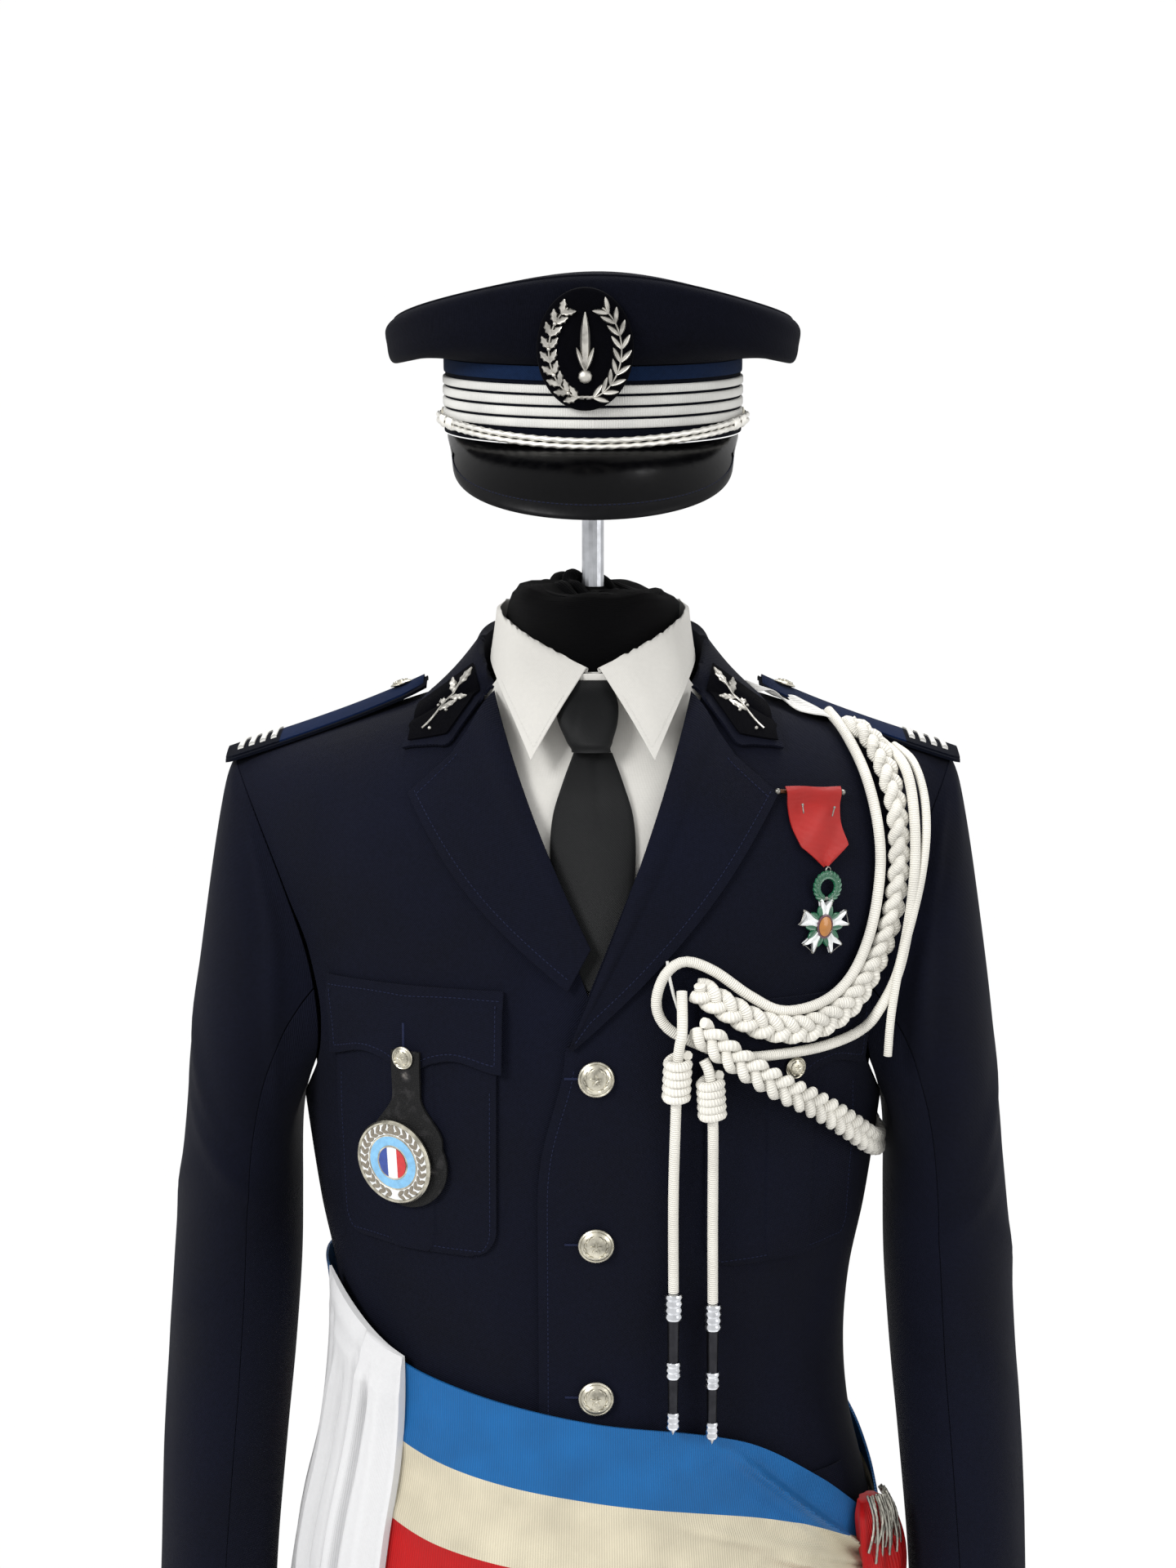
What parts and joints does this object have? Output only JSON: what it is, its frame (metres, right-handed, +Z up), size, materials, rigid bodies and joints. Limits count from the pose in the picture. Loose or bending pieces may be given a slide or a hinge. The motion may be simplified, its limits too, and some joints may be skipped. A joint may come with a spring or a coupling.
{
  "type": "police uniform on a bust form with stand",
  "caption": "Police dress uniform with peaked cap, tunic, shirt collar, tie, tricolour sash, gloves, shoulder cord and medal, on a limbless bust form with a round stand.",
  "frame": {"origin": "on the floor, under the middle of the round base", "axes": "+Z up the pole; the wearer faces -Y; +X is the wearer's left, the side of the shoulder cord"},
  "size_m": [0.5892, 0.36, 1.7162],
  "materials": {
    "navy_cloth": "matt wool twill, midnight navy",
    "black_cloth": "black velvet",
    "blue_cloth": "matt royal-blue felt",
    "shirt_cotton": "smooth white cotton",
    "tie_cloth": "charcoal satin with a fine twill",
    "sash_silk": "ribbed silk in blue, cream and red bands",
    "glove_cotton": "smooth white cotton",
    "white_cord": "woven off-white cord",
    "silver_metal": "polished silver plate",
    "silver_lace": "twisted silver lace",
    "bullion": "metallic bullion thread",
    "patent_leather": "black patent gloss",
    "fob_leather": "cracked black leather",
    "enamel": "glossy enamel on metal",
    "red_ribbon": "red moire ribbon",
    "form_jersey": "black jersey cover",
    "steel": "satin steel",
    "base_metal": "black powder coat"
  },
  "bodies": {
    "uniform": {"cap_badge": "black_cloth", "cap_band": "navy_cloth", "cap_button_left": "silver_metal", "cap_button_right": "silver_metal", "cap_chin_cord": "silver_lace", "cap_crown": "navy_cloth", "cap_pole": "steel", "cap_visor": "patent_leather", "collar": "navy_cloth", "collar_patch_left": "black_cloth", "collar_patch_right": "black_cloth", "cord_loop": "white_cord", "epaulette_button_left": "silver_metal", "epaulette_button_right": "silver_metal", "epaulette_left": "blue_cloth", "epaulette_right": "blue_cloth", "ferrule_1": "steel", "ferrule_2": "steel", "fob_badge": "enamel", "fob_leather": "fob_leather", "form_torso": "form_jersey", "front_button_1": "silver_metal", "front_button_2": "silver_metal", "front_button_3": "silver_metal", "gloves": "glove_cotton", "lapel_left": "navy_cloth", "lapel_right": "navy_cloth", "lower_flap_left": "navy_cloth", "lower_flap_right": "navy_cloth", "medal_bar": "silver_metal", "medal_ribbon": "red_ribbon", "pendant_cord_1": "white_cord", "pendant_cord_2": "white_cord", "plait_lower": "white_cord", "plait_upper": "white_cord", "pocket_button_left": "silver_metal", "pocket_button_right": "silver_metal", "pocket_flap_left": "navy_cloth", "pocket_flap_right": "navy_cloth", "pocket_left": "navy_cloth", "pocket_right": "navy_cloth", "sash_band": "sash_silk", "sash_fringe": "bullion", "sash_knot": "sash_silk", "sash_tail": "sash_silk", "shirt_collar": "shirt_cotton", "shirt_front": "shirt_cotton", "sleeve_left_top": "navy_cloth", "sleeve_left_under": "navy_cloth", "sleeve_right_top": "navy_cloth", "sleeve_right_under": "navy_cloth", "stand_base": "base_metal", "stand_pole": "steel", "tie_blade": "tie_cloth", "tie_knot": "tie_cloth", "tunic_back": "navy_cloth", "tunic_front_left": "navy_cloth", "tunic_front_right": "navy_cloth"},
    "medal": {"medal_pendant": "enamel"}
  },
  "joints": [
    {"name": "medal_swing", "type": "hinge", "parent": "uniform", "child": "medal", "pos_m": [0.14447, -0.09697, 1.35674], "axis": [-0.8892, -0.4575, 0], "range_deg": [0, 75]}
  ]
}
